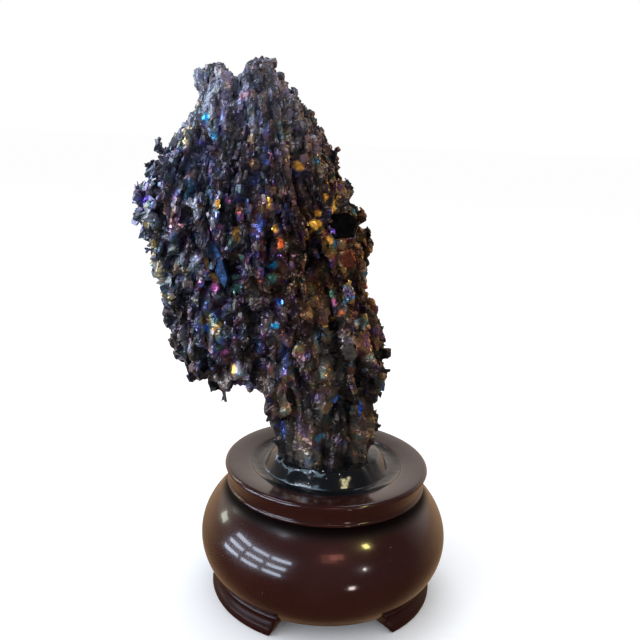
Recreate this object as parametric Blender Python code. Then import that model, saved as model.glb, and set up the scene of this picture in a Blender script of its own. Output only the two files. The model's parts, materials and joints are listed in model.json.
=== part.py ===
"""A cluster of silicon carbide crystals, set with black resin in a turned, lacquered wooden stand.

Run it with: blender --background --python part.py

Lengths are in metres and +Z is up. The stand rests on Z = 0, and the origin is under the middle of
the whole object's bounding box, so the stand's own axis is a little to the right of it, because the
cluster leans to the left. The cluster's shape is given from the stand's axis.
"""

import math
import random

import bmesh
import bpy
import numpy as np
from mathutils import Matrix, Vector

MM = 0.001
STAND_X = 8.5 * MM

# The stand: a thick disc on a round belly, on three wide feet
DISC_TOP = 36.6 * MM
DISC_BOTTOM = 30.5 * MM
DISC_RADIUS = 27.5 * MM
DISC_EDGE = 1.6 * MM
RIM_INNER_RADIUS = 24.0 * MM
WAIST_RADIUS = 25.2 * MM
BELLY_HEIGHT = 16.0 * MM
BELLY_RADIUS = 33.6 * MM
BELLY_CENTRE_RADIUS = 9.0 * MM
BELLY_HALF_HEIGHT = 18.9 * MM
CREASE_HEIGHT = 5.6 * MM
FOOT_RADIUS = 30.3 * MM
FOOT_COVE_RADIUS = 29.4 * MM
FOOT_INNER_RADIUS = 21.0 * MM
APRON_HEIGHT = 5.0 * MM
GAP_TURN = 6.5
GAP_HALF_ANGLE_TOP = 29.5
GAP_HALF_ANGLE_FLOOR = 32.0
FEET = 3
STAND_STEPS = 40

# The recess in the disc, and the resin that fills it and rises round the crystals' foot
RECESS_RADIUS = 20.3 * MM
RECESS_FLOOR = 32.4 * MM
RECESS_EDGE = 35.7 * MM
CLEARANCE = 0.3 * MM
POOL_TOP = 35.3 * MM
POOL_EDGE_TOP = 35.5 * MM
MOUND_FOOT_RADIUS = 16.6 * MM
MOUND_SHOULDER_RADIUS = 15.0 * MM
MOUND_TOP = 38.4 * MM
SOCKET_RADIUS = 11.5 * MM
SOCKET_FLOOR = 34.2 * MM
RESIN_STEPS = 32

# The cluster's outline in millimetres: height, left edge, right edge, depth, and how far back its
# middle is
NECK_SECTIONS = (
    (33, -13.0, 12.0, 24, 0.0),
    (42, -15.2, 13.4, 26, 0.0),
    (50, -16.4, 14.4, 27, 0.0),
    (58, -17.2, 13.0, 29, 0.5),
    (61, -17.4, 12.6, 31, 0.5),
    (64, -18.0, 16.8, 32, 0.5),
    (72, -17.0, 15.8, 34, 0.5),
    (80, -14.0, 10.0, 32, 0.5),
)
BODY_SECTIONS = (
    (60, -38.0, 12.0, 29, 0.5),
    (64, -43.4, 16.4, 35, 1.0),
    (71, -44.2, 15.8, 40, 1.4),
    (78, -43.6, 12.4, 42, 1.0),
    (86, -45.6, 8.6, 43, 0.2),
    (95, -49.4, 8.2, 44, -0.6),
    (99, -51.2, 7.4, 43, -0.8),
    (104, -52.0, 5.6, 42, -0.6),
    (111, -50.4, 3.2, 40, 0.2),
    (117, -45.0, 0.4, 37, 1.0),
    (124, -37.8, -4.6, 33, 1.2),
    (130, -33.4, -10.6, 28, 0.6),
    (135, -32.4, -16.8, 20, 0.0),
)
CORE_SHARE = 0.80
SECTION_POWER = 2.3

# The crystals that the cluster's sides are made of, in millimetres
CRYSTAL_LENGTH = (10.0, 18.5)
CRYSTAL_WIDTH = (6.6, 10.0)
CRYSTAL_FLATNESS = (0.5, 0.95)
BODY_COLUMNS = 17
NECK_COLUMNS = 10
SEED = 11

# Single crystals that stand out of the sides: foot, tip and width, in millimetres
KNOBS = (
    ((-31.0, 0.0, 120.0), (-34.4, -1.0, 136.2), 6.0),
    ((-30.0, 3.0, 120.0), (-32.0, 1.5, 137.8), 5.8),
    ((-28.0, -4.0, 118.0), (-31.6, -4.0, 133.0), 6.0),
    ((-31.0, 6.0, 116.0), (-33.0, 7.0, 131.0), 7.0),
    ((-22.0, 0.0, 120.0), (-23.2, -1.0, 138.8), 8.2),
    ((-20.0, 2.0, 120.0), (-20.4, 1.0, 139.4), 6.8),
    ((-18.0, -3.0, 120.0), (-17.6, -3.0, 135.8), 6.4),
    ((-22.0, 5.0, 118.0), (-23.0, 6.4, 136.4), 8.0),
    ((-17.0, 5.0, 116.0), (-16.4, 6.4, 131.6), 7.0),
)
TIPS = (
    ((-30.0, 0.0, 70.0), (-28.2, -0.5, 51.8), 3.6),
    ((-33.0, 1.0, 70.0), (-30.6, 0.5, 54.2), 5.6),
    ((-27.0, -6.0, 74.0), (-25.0, -7.5, 59.0), 7.0),
    ((-24.0, 3.0, 74.0), (-21.0, 3.5, 57.6), 8.0),
    ((-37.0, -6.0, 76.0), (-34.5, -6.0, 59.2), 7.0),
    ((-36.0, 7.0, 76.0), (-34.0, 7.5, 57.2), 7.0),
    ((-26.0, 10.0, 74.0), (-24.0, 11.0, 57.0), 7.0),
    ((-20.0, -8.0, 74.0), (-18.6, -8.5, 58.4), 6.6),
)
SPIKES = (
    ((10.5, -2.0, 54.4), (14.6, -2.4, 56.8), 2.4),
    ((10.0, -2.0, 45.6), (14.6, -2.2, 48.2), 2.4),
    ((-15.0, -1.0, 127.0), (-12.0, -1.0, 132.8), 1.8),
    ((-42.0, -2.0, 112.0), (-45.0, -2.0, 119.0), 2.4),
    ((-45.0, -1.0, 104.0), (-48.0, -1.0, 114.4), 3.6),
    ((-42.0, 0.0, 72.0), (-44.8, 0.0, 79.4), 3.2),
    ((10.0, 0.0, 60.0), (14.6, -0.6, 69.0), 5.4),
    ((6.0, 0.0, 92.0), (7.4, -0.6, 100.4), 5.0),
)


def principled(name, hex_colour, roughness, metallic):
    """A Principled material of one colour, given as sRGB hex."""
    material = bpy.data.materials.new(name)
    material.use_nodes = True
    shader = material.node_tree.nodes["Principled BSDF"]
    parts = [int(hex_colour[i : i + 2], 16) / 255 for i in (1, 3, 5)]
    linear = [c / 12.92 if c <= 0.04045 else ((c + 0.055) / 1.055) ** 2.4 for c in parts]
    shader.inputs["Base Color"].default_value = (*linear, 1.0)
    shader.inputs["Roughness"].default_value = roughness
    shader.inputs["Metallic"].default_value = metallic
    return material


def object_of(name, bm, material=None):
    """A linked object holding bm's mesh, with its faces turned outwards."""
    bmesh.ops.recalc_face_normals(bm, faces=bm.faces)
    mesh = bpy.data.meshes.new(name)
    bm.to_mesh(mesh)
    bm.free()
    if material:
        mesh.materials.append(material)
    obj = bpy.data.objects.new(name, mesh)
    bpy.context.scene.collection.objects.link(obj)
    return obj


def as_helper(obj):
    """Keeps a cutter or an operand out of renders and out of the build."""
    obj.hide_render = True
    obj.display_type = "WIRE"
    return obj


def boolean(obj, other, operation, own_overlaps=False):
    modifier = obj.modifiers.new(f"{operation.lower()} {other.name}", "BOOLEAN")
    modifier.operation = operation
    modifier.solver = "EXACT"
    modifier.use_self = own_overlaps
    modifier.object = other


def arc(centre, radius, start, end, steps):
    """Points (radius, height) along an arc, with its angles in degrees up from straight outwards."""
    angles = np.radians(np.linspace(start, end, steps + 1))
    return [(centre[0] + radius * math.cos(a), centre[1] + radius * math.sin(a)) for a in angles]


def turned(name, profile, steps, material=None):
    """A solid turned from (radius, height) points that run from the axis over the top, down the
    outside and back to the axis."""
    bm = bmesh.new()
    rings = []
    for radius, height in profile:
        if radius < 1e-6:
            rings.append([bm.verts.new((0, 0, height))])
            continue
        turns = [2 * math.pi * i / steps for i in range(steps)]
        rings.append(
            [bm.verts.new((radius * math.cos(t), radius * math.sin(t), height)) for t in turns]
        )
    for upper, lower in zip(rings, rings[1:]):
        join_rings(bm, upper, lower)
    obj = object_of(name, bm, material)
    obj.location.x = STAND_X
    return obj


def join_rings(bm, upper, lower):
    """Faces between two rings of points, either of which may be a single point."""
    count = max(len(upper), len(lower))
    for i in range(count):
        j = (i + 1) % count
        corners = [upper[i % len(upper)], lower[i % len(lower)]]
        if len(lower) > 1:
            corners.append(lower[j])
        if len(upper) > 1:
            corners.append(upper[j])
        bm.faces.new(corners)


def belly_radius(height):
    """The belly's outline: an upright ellipse whose centre is off the axis."""
    rise = (height - BELLY_HEIGHT) / BELLY_HALF_HEIGHT
    return BELLY_CENTRE_RADIUS + (BELLY_RADIUS - BELLY_CENTRE_RADIUS) * math.sqrt(1 - rise**2)


def stand_profile():
    """The stand's outline: recess, dished rim, disc, waist, belly, feet and underside."""
    disc_middle = (DISC_TOP + DISC_BOTTOM) / 2
    bulge = DISC_RADIUS - DISC_EDGE
    points = [(0, RECESS_FLOOR), (RECESS_RADIUS, RECESS_FLOOR), (RECESS_RADIUS, RECESS_EDGE)]
    points += [(RECESS_RADIUS + 0.4 * MM, RECESS_EDGE + 0.3 * MM)]
    points += [(RIM_INNER_RADIUS, DISC_TOP - 0.1 * MM)]
    points += arc((bulge, DISC_TOP - DISC_EDGE), DISC_EDGE, 90, 15, 2)
    points += [(DISC_RADIUS + 0.15 * MM, disc_middle)]
    points += arc((bulge, DISC_BOTTOM + DISC_EDGE), DISC_EDGE, -15, -90, 2)
    points += [(WAIST_RADIUS, DISC_BOTTOM)]
    waist_height = BELLY_HEIGHT + BELLY_HALF_HEIGHT * math.sqrt(
        1 - ((WAIST_RADIUS - BELLY_CENTRE_RADIUS) / (BELLY_RADIUS - BELLY_CENTRE_RADIUS)) ** 2
    )
    top_rise = math.asin((waist_height - BELLY_HEIGHT) / BELLY_HALF_HEIGHT)
    low_rise = math.asin((CREASE_HEIGHT - BELLY_HEIGHT) / BELLY_HALF_HEIGHT)
    for rise in np.linspace(top_rise, low_rise, 9):
        height = BELLY_HEIGHT + BELLY_HALF_HEIGHT * math.sin(rise)
        points.append((belly_radius(height), height))
    points += [
        (belly_radius(CREASE_HEIGHT) + 0.5 * MM, CREASE_HEIGHT - 0.5 * MM),
        (FOOT_COVE_RADIUS, CREASE_HEIGHT - 2.2 * MM),
        (FOOT_RADIUS, 0.9 * MM),
        (FOOT_RADIUS - 0.3 * MM, 0),
        (FOOT_INNER_RADIUS, 0),
        (FOOT_INNER_RADIUS, APRON_HEIGHT),
        (0, APRON_HEIGHT),
    ]
    return points


def foot_gap(index):
    """The cutter for the gap between two feet, which widens a little towards the floor."""
    middle = math.radians(GAP_TURN + index * 360 / FEET - 90)
    inner = FOOT_INNER_RADIUS - 2 * MM
    outer = BELLY_RADIUS + 4 * MM
    levels = (
        (-1 * MM, GAP_HALF_ANGLE_FLOOR + 0.6),
        (1 * MM, GAP_HALF_ANGLE_FLOOR - 0.6),
        (APRON_HEIGHT - 1.4 * MM, GAP_HALF_ANGLE_TOP + 0.3),
        (APRON_HEIGHT - 0.4 * MM, GAP_HALF_ANGLE_TOP - 0.7),
        (APRON_HEIGHT, GAP_HALF_ANGLE_TOP - 2.2),
    )
    bm = bmesh.new()
    rings = []
    for height, half_angle in levels:
        turns = [middle + math.radians(a) for a in np.linspace(-half_angle, half_angle, 9)]
        path = [(outer, t) for t in turns] + [(inner, t) for t in reversed(turns)]
        rings.append([bm.verts.new((r * math.cos(t), r * math.sin(t), height)) for r, t in path])
    for lower, upper in zip(rings, rings[1:]):
        join_rings(bm, upper, lower)
    bm.faces.new(rings[0])
    bm.faces.new(rings[-1])
    cutter = as_helper(object_of(f"foot_gap_{index}", bm))
    cutter.location.x = STAND_X
    return cutter


def make_stand():
    lacquer = principled("lacquered_wood", "#4A2620", 0.12, 0.0)
    stand = turned("stand", stand_profile(), STAND_STEPS, lacquer)
    for index in range(FEET):
        boolean(stand, foot_gap(index), "DIFFERENCE")
    stand.data.shade_smooth()
    stand.data.set_sharp_from_angle(angle=math.radians(35))


def resin_height(radius, turn):
    """The resin's top: a pool that meets the recess wall, and an uneven mound inside it."""
    swell = 0.5 * math.sin(2 * turn + 0.6) + 0.35 * math.sin(5 * turn + 2.0)
    foot = MOUND_FOOT_RADIUS + 0.5 * swell * MM
    shoulder = MOUND_SHOULDER_RADIUS + 0.5 * swell * MM
    top = MOUND_TOP + 0.5 * swell * MM
    radii = (SOCKET_RADIUS, shoulder - 1.6 * MM, shoulder, foot, RECESS_RADIUS)
    heights = (top, top - 0.3 * MM, top - 1.3 * MM, POOL_TOP, POOL_EDGE_TOP)
    return float(np.interp(radius, radii, heights))


def resin_solid(name, grown, material=None):
    """The resin, or with grown above 0 the space around its top that the crystals keep clear of."""
    radii = [SOCKET_RADIUS - grown, SOCKET_RADIUS + 2 * MM, MOUND_SHOULDER_RADIUS]
    radii += [MOUND_FOOT_RADIUS, RECESS_RADIUS - CLEARANCE]
    floor = RECESS_FLOOR + CLEARANCE
    bm = bmesh.new()
    turns = [2 * math.pi * i / RESIN_STEPS for i in range(RESIN_STEPS)]
    levels = [[bm.verts.new((0, 0, SOCKET_FLOOR + grown))]]
    paths = [[(radii[0], SOCKET_FLOOR + grown)] * RESIN_STEPS]
    paths += [[(r, resin_height(r, t) + grown) for t in turns] for r in radii]
    paths += [[(radii[-1], floor)] * RESIN_STEPS]
    for path in paths:
        levels.append(
            [bm.verts.new((r * math.cos(t), r * math.sin(t), z)) for (r, z), t in zip(path, turns)]
        )
    levels.append([bm.verts.new((0, 0, floor))])
    for upper, lower in zip(levels, levels[1:]):
        join_rings(bm, upper, lower)
    obj = object_of(name, bm, material)
    obj.location.x = STAND_X
    return obj


def make_resin():
    black_resin = principled("black_resin", "#0C0D0E", 0.1, 0.0)
    resin = resin_solid("resin", 0.0, black_resin)
    resin.data.shade_smooth()
    resin.data.set_sharp_from_angle(angle=math.radians(50))


def outline_point(sections, height, turn, inset):
    """A point on the cluster's outline at a height, moved in from its edge by inset."""
    heights = [s[0] for s in sections]
    left, right, depth, middle = (
        np.interp(height, heights, [s[k] for s in sections]) for k in (1, 2, 3, 4)
    )
    half_width = (right - left) / 2 - inset
    half_depth = depth / 2 - inset
    power = 2 / SECTION_POWER
    across = math.copysign(abs(math.cos(turn)) ** power, math.cos(turn))
    back = math.copysign(abs(math.sin(turn)) ** power, math.sin(turn))
    return Vector(((left + right) / 2 + half_width * across, middle + half_depth * back, height))


def add_crystal(bm, foot, tip, width, flatness, roll):
    """One closed six-sided crystal with flat ends, in millimetres, narrower at its tip."""
    turn = (tip - foot).to_track_quat("Z", "X").to_matrix().to_4x4()
    place = Matrix.Translation(foot) @ turn @ Matrix.Rotation(roll, 4, "Z")
    length = (tip - foot).length
    rings = []
    for share, height in ((1.0, 0), (0.85, length)):
        corners = [math.radians(60 * i) for i in range(6)]
        radius = width / 2 * share
        rings.append(
            [
                bm.verts.new(place @ Vector((radius * math.cos(c), radius * flatness * math.sin(c), height)))
                for c in corners
            ]
        )
    for lower, upper in zip(rings, rings[1:]):
        join_rings(bm, upper, lower)
    bm.faces.new(rings[0])
    bm.faces.new(rings[-1])


def add_core(bm, sections, steps=16):
    """The solid middle of the cluster, a loft a little inside its outline."""
    rings = []
    for height, left, right, depth, _ in sections:
        inset = (1 - CORE_SHARE) * min(right - left, depth) / 2
        turns = [2 * math.pi * i / steps for i in range(steps)]
        rings.append([bm.verts.new(outline_point(sections, height, t, inset)) for t in turns])
    for lower, upper in zip(rings, rings[1:]):
        join_rings(bm, upper, lower)
    bm.faces.new(rings[0])
    bm.faces.new(rings[-1])


def underside(across):
    """How low the cluster hangs at a place from left to right, in millimetres."""
    return float(np.interp(across, (-44, -38, -34, -28, -18, -14), (68, 62.5, 60.5, 60, 60, 50)))


def add_columns(bm, rng, sections, columns, lowest):
    """Crystals stacked in columns up the outline, each leaning a little out over the next."""
    heights = (sections[0][0], sections[-1][0])
    for column in range(columns):
        turn = 2 * math.pi * (column + rng.uniform(-0.3, 0.3)) / columns
        height = lowest(turn) + rng.uniform(-0.5, 3.0)
        while height < heights[1] - 5:
            length = rng.uniform(*CRYSTAL_LENGTH)
            width = rng.uniform(*CRYSTAL_WIDTH)
            end = min(height + length, heights[1] + 1)
            drift = rng.uniform(-0.12, 0.12)
            stands_out = rng.uniform(-1.0, 0.9)
            foot = outline_point(sections, height, turn, width * 0.46 + rng.uniform(0.8, 2.4))
            tip = outline_point(sections, end, turn + drift, width * 0.38 - stands_out)
            add_crystal(bm, foot, tip, width, rng.uniform(*CRYSTAL_FLATNESS), rng.uniform(0, math.pi))
            height += length * rng.uniform(0.6, 0.78)


def outer_shell(bm):
    """Deletes every closed surface but the largest, which is the outside of the fused crystals."""
    left = set(bm.verts)
    shells = []
    while left:
        shell = {left.pop()}
        edge = list(shell)
        while edge:
            near = {e.other_vert(v) for v in edge for e in v.link_edges} - shell
            shell |= near
            edge = list(near)
        left -= shell
        shells.append(shell)
    shells.sort(key=len)
    inner = [v for shell in shells[:-1] for v in shell]
    bmesh.ops.delete(bm, geom=inner, context="VERTS")


def body_lowest(turn):
    return underside(outline_point(BODY_SECTIONS, 62, turn, 3).x)


def make_cluster():
    """The crystals, grown together into one piece that bends over from its neck."""
    rng = random.Random(SEED)
    bm = bmesh.new()
    add_core(bm, NECK_SECTIONS)
    add_core(bm, BODY_SECTIONS)
    add_columns(bm, rng, BODY_SECTIONS, BODY_COLUMNS, body_lowest)
    add_columns(bm, rng, NECK_SECTIONS, NECK_COLUMNS, lambda turn: 35)
    for foot, tip, width in KNOBS + TIPS + SPIKES:
        roll = rng.uniform(0, math.pi)
        add_crystal(bm, Vector(foot), Vector(tip), width, rng.uniform(0.75, 1.0), roll)
    bmesh.ops.scale(bm, vec=(MM, MM, MM), verts=bm.verts)
    bmesh.ops.translate(bm, vec=(STAND_X, 0, 0), verts=bm.verts)
    carbide = principled("silicon_carbide", "#2A2838", 0.25, 0.6)
    cluster = object_of("silicon_carbide_crystal", bm, carbide)
    around_resin = as_helper(resin_solid("space_around_resin", CLEARANCE))
    boolean(cluster, around_resin, "DIFFERENCE", own_overlaps=True)
    graph = bpy.context.evaluated_depsgraph_get()
    fused = bmesh.new()
    fused.from_mesh(cluster.evaluated_get(graph).to_mesh())
    outer_shell(fused)
    cluster.modifiers.clear()
    fused.to_mesh(cluster.data)
    fused.free()


def main():
    for obj in list(bpy.data.objects):
        bpy.data.objects.remove(obj, do_unlink=True)
    make_stand()
    make_resin()
    make_cluster()


main()
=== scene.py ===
import json
from functools import partial
from math import acos, asin, cos, exp, log, pi, radians, sin, sqrt

import bmesh
import bpy
import numpy as np
from bpy.props import FloatProperty, FloatVectorProperty, IntProperty, PointerProperty
from mathutils import Matrix, Vector, noise
from mathutils.bvhtree import BVHTree

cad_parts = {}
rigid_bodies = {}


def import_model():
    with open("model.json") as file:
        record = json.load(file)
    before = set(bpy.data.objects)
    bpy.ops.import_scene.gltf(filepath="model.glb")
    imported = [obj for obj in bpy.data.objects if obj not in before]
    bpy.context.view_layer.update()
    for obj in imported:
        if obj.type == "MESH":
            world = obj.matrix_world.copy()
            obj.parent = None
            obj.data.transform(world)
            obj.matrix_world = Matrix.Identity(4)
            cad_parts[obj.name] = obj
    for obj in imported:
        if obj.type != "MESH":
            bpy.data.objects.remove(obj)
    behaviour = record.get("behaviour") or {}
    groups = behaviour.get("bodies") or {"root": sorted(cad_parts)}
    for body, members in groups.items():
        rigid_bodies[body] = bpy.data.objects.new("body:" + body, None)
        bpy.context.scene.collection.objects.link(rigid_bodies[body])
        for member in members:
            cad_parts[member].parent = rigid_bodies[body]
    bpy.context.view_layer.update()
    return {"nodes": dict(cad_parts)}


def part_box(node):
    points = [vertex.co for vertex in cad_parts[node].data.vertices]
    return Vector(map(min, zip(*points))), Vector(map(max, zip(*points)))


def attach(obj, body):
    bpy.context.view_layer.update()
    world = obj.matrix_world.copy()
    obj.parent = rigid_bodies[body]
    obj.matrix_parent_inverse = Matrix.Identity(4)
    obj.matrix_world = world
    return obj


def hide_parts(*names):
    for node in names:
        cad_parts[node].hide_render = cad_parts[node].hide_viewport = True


bl_info = {
    "name": "Silicon carbide crystal on a lacquered stand",
    "version": (1, 0, 0),
    "blender": (4, 5, 0),
    "location": "3D View > Sidebar > Crystal",
    "description": "Turned stand, poured resin and a rainbow silicon carbide crystal cluster",
    "category": "Add Mesh",
}

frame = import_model()
STAND_LOW, STAND_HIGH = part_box("stand")
AXIS = Vector(((STAND_LOW.x + STAND_HIGH.x) / 2, (STAND_LOW.y + STAND_HIGH.y) / 2, 0.0))
MM = 0.001
FULL_TURN = 2 * pi
# the point over the cluster's top, in millimetres from the stand's axis, that its strands fan out from
FAN = (-27.0, 0.5, 152.0)
# where the camera stands, how far it looks down and leans, and its lens on a 36 mm sensor
CAMERA_PLACE = AXIS + Vector((-0.00356, -0.19053, 0.12446))
LOOK_DOWN, LEAN = radians(14.37), radians(2.71)
CAMERA_TURN = Matrix.Rotation(pi / 2 - LOOK_DOWN, 4, "X") @ Matrix.Rotation(LEAN, 4, "Z")
LENS, SENSOR, FRAME = 42.29, 36.0, 640

# the kinds of node that come again and again, and their usual settings
(MATH, VECTOR, RANGE, MIX, NOISE, CELLS, MAPPING, BUMP, PLACE, ATTRIBUTE, SPLIT, RAMP, PRINCIPLED,
 SURFACE) = ("ShaderNode" + kind for kind in (
    "Math", "VectorMath", "MapRange", "Mix", "TexNoise", "TexVoronoi", "Mapping", "Bump", "TexCoord",
    "Attribute", "SeparateXYZ", "ValToRGB", "BsdfPrincipled", "OutputMaterial"))
RANDOM, NAMED = "FunctionNodeRandomValue", "GeometryNodeInputNamedAttribute"
STORE = "GeometryNodeStoreNamedAttribute"
TIMES, TIMES_PLUS, PLUS, LESS, LARGER, SCALE, FRACTION = ({"operation": name} for name in (
    "MULTIPLY", "MULTIPLY_ADD", "ADD", "LESS_THAN", "MAXIMUM", "SCALE", "FRACT"))
RGBA, VECTORS = {"data_type": "RGBA"}, {"data_type": "FLOAT_VECTOR"}
SMOOTH = {"interpolation_type": "SMOOTHSTEP"}


def linear(hex_colour):
    """An sRGB hex colour as linear red, green, blue and alpha."""
    parts = [int(hex_colour[i : i + 2], 16) / 255 for i in (1, 3, 5)]
    return tuple(c / 12.92 if c <= 0.04045 else ((c + 0.055) / 1.055) ** 2.4 for c in parts) + (1.0,)


def length(name, text, millimetres):
    """A length that a user may change, shown in the scene's own unit."""
    return FloatProperty(name=name, description=text, default=millimetres * MM, min=0.0,
                         unit="LENGTH", subtype="DISTANCE", precision=5)


def colour(name, text, hex_colour):
    """A colour that a user may change."""
    return FloatVectorProperty(name=name, description=text, default=linear(hex_colour), size=4,
                               min=0.0, max=1.0, subtype="COLOR")


# ---------------------------------------------------------------- sizes and colours


class StandSizes(bpy.types.PropertyGroup):
    """The turned stand: a thick disc on a squat belly with three low feet."""

    disc_top: length("Disc top", "Height of the disc's upper face", 36.6)
    disc_bottom: length("Disc bottom", "Height of the disc's lower face", 30.5)
    disc_radius: length("Disc radius", "Radius of the disc", 27.5)
    disc_round: length("Disc rounding", "Rounding of the disc's upper edge", 0.9)
    bead_radius: length("Bead radius", "Radius of the bead along the disc's lower edge", 26.3)
    recess_radius: length("Recess radius", "Radius of the hollow that holds the resin", 20.3)
    recess_floor: length("Recess floor", "Height of the hollow's floor", 32.4)
    recess_edge: length("Recess edge", "Height at which the hollow's wall ends", 35.7)
    belly_radius: length("Belly radius", "Widest radius of the belly", 33.6)
    belly_height: length("Belly height", "Height at which the belly is widest", 16.0)
    belly_centre: length("Belly section centre", "Radius about which the belly's section is drawn", 9.0)
    belly_half: length("Belly half height", "Half height of the ellipse of the belly's section", 18.9)
    waist_radius: length("Waist radius", "Radius where the belly meets the disc", 25.2)
    crease_height: length("Crease height", "Height of the crease over the feet", 5.6)
    apron_edge: length("Apron edge", "Height of the belly's lower edge between the feet", 4.8)
    apron_height: length("Apron height", "Height of the underside between the feet", 4.5)
    foot_inner: length("Foot inner radius", "Inner radius of the feet", 21.0)
    gap_turn: FloatProperty(name="Gap turn", description="Turn of the front gap from straight ahead",
                            default=radians(6.5), subtype="ANGLE")
    lacquer: colour("Lacquer", "Colour of the lacquered wood", "#2F100C")
    lacquer_deep: colour("Deep lacquer", "Colour where the lacquer lies thicker", "#1A0908")


class ResinSizes(bpy.types.PropertyGroup):
    """The black resin that glues the crystal into the stand."""

    pool_top: length("Pool top", "Height of the pool's flat surface", 35.35)
    pool_edge: length("Pool edge", "Height to which the pool climbs its edge", 35.95)
    pool_overlap: length("Pool overlap", "How far the pool runs over the recess's rounded lip", 0.4)
    collar_foot: length("Collar foot", "Radius where the collar rises from the pool", 17.0)
    collar_crest: length("Collar crest", "Radius where the collar turns into its shoulder", 13.2)
    collar_top: length("Collar top", "Height of the collar's shoulder", 39.2)
    collar_climb: length("Collar climb", "How much further the shoulder climbs to the crystal", 0.6)
    resin: colour("Resin", "Colour of the poured resin", "#0B0D10")


class CrystalSizes(bpy.types.PropertyGroup):
    """The grown-together cluster of small hexagonal silicon carbide crystals."""

    strand_width: length("Strand width", "Width of one strand of crystals", 4.4)
    strand_length: length("Strand length", "Length over which a strand keeps its course", 17.0)
    groove_depth: length("Groove depth", "Depth of the grooves between strands", 2.7)
    strand_swell: length("Strand swell", "How far the strands' crests swell beyond the solid", 0.65)
    core_mesh: length("Core mesh", "Mesh size of the core", 0.51)
    grain_cell: length("Grain cell", "Width of one flat grain in the core", 2.5)
    grain_relief: length("Grain relief", "Height of the flat grains in the core", 1.2)
    crumb_cell: length("Crumb cell", "Width of one crumb on the grains", 1.2)
    crumb_relief: length("Crumb relief", "Height of the crumbs", 0.14)
    grain_spacing: length("Grain spacing", "Least distance between two small crystals", 2.3)
    grain_width: length("Grain width", "Usual width of a small crystal", 1.3)
    grain_length: length("Grain length", "Usual length of a small crystal", 1.7)
    plate_spacing: length("Plate spacing", "Least distance between two large plates", 11.0)
    plate_width: length("Plate width", "Usual width of a large plate", 1.8)
    plate_length: length("Plate length", "Usual length of a large plate", 3.6)
    chip_spacing: length("Chip spacing", "Least distance between two bright chips", 1.1)
    chip_width: length("Chip width", "Usual width of a bright chip", 0.65)
    seed: IntProperty(name="Seed", description="Fixed seed of everything scattered", default=7)


class StageSizes(bpy.types.PropertyGroup):
    """The floor, the lamps and the camera."""

    floor: colour("Floor", "Colour of the plain floor", "#FCFCFC")
    panel_power: FloatProperty(name="Panel power", description="Power of one pane of the louvred light",
                               default=0.15, min=0.0, unit="POWER")
    panel_distance: length("Panel distance", "Distance of the louvred light from the stand", 450.0)


# ---------------------------------------------------------------- small helpers


def add_node(tree, kind, inputs=(), settings=None, out=0):
    """Adds one node and returns one of its outputs. Inputs go by name, by number or in order, and each
    is a value, a hex colour or the output that feeds it."""
    node = tree.nodes.new(kind)
    node.location = (len(tree.nodes) % 12 * 190, -(len(tree.nodes) // 12) * 320)
    for name, value in (settings or {}).items():
        setattr(node, name, value)
    for key, value in inputs.items() if isinstance(inputs, dict) else enumerate(inputs):
        if isinstance(value, bpy.types.NodeSocket):
            tree.links.new(value, node.inputs[key])
        else:
            is_colour = isinstance(value, str) and value.startswith("#")
            node.inputs[key].default_value = linear(value) if is_colour else value
    return node.outputs[out] if node.outputs else node


def fill_ramp(ramp, stops):
    """Sets a Color Ramp's stops from (place, hex colour or brightness) pairs."""
    elements = ramp.node.color_ramp.elements
    while len(elements) < len(stops):
        elements.new(0.5)
    for element, (place, value) in zip(elements, stops):
        element.position = place
        element.color = linear(value) if isinstance(value, str) else (value, value, value, 1.0)


def new_material(name):
    """An empty node material, the way to add a node to it, and each point's place on the piece."""
    made = bpy.data.materials.new(name)
    made.use_nodes = True
    made.node_tree.nodes.clear()
    add = partial(add_node, made.node_tree)
    return made, add, add(PLACE, out="Object")


def add_object(name, data):
    """An object for a mesh, a lamp or a camera, put in the scene."""
    made = bpy.data.objects.new(name, data)
    bpy.context.scene.collection.objects.link(made)
    return made


def mesh_object(name, points, faces, material=None):
    """An object at the origin whose place is in its mesh."""
    mesh = bpy.data.meshes.new(name)
    mesh.from_pydata([tuple(p) for p in points], [], faces)
    mesh.validate()
    if material:
        mesh.materials.append(material)
    return add_object(name, mesh)


def finished_mesh(piece):
    """The mesh that a piece's modifiers make, as a plain mesh."""
    return bpy.data.meshes.new_from_object(piece.evaluated_get(bpy.context.evaluated_depsgraph_get()))


def read_points(mesh, field="co"):
    """The places or the normals of a mesh's points."""
    values = np.empty(len(mesh.vertices) * 3)
    mesh.vertices.foreach_get(field, values)
    return values.reshape(-1, 3)


def store_layer(mesh, name, values):
    """Keeps a number, a way or a colour at each point of a mesh."""
    kinds = {1: ("FLOAT", "value"), 3: ("FLOAT_VECTOR", "vector"), 4: ("FLOAT_COLOR", "color")}
    kind, field = kinds[values.size // len(mesh.vertices)]
    mesh.attributes.new(name, kind, "POINT").data.foreach_set(field, values.ravel())


def shade(piece, crease_degrees):
    """Smooth shading, but for edges that turn more than crease_degrees."""
    piece.data.polygons.foreach_set("use_smooth", [True] * len(piece.data.polygons))
    piece.data.set_sharp_from_angle(angle=radians(crease_degrees))


def hand_over(piece, node, lit_group):
    """The piece rides on the part's only body, stands for a node and is lit by its own lamps."""
    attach(piece, "root")
    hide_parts(node)
    bpy.data.collections[lit_group].objects.link(piece)


def arc(centre, radius, start, end, steps):
    """Points of a round from start to end degrees, about a centre in (radius, height)."""
    return [(centre[0] + radius * cos(radians(a)), centre[1] + radius * sin(radians(a)))
            for a in np.linspace(start, end, steps)]


def round_axis(radius, angle, height):
    """A point at an angle round the stand's axis."""
    return (AXIS.x + radius * cos(angle), AXIS.y + radius * sin(angle), height)


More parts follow.
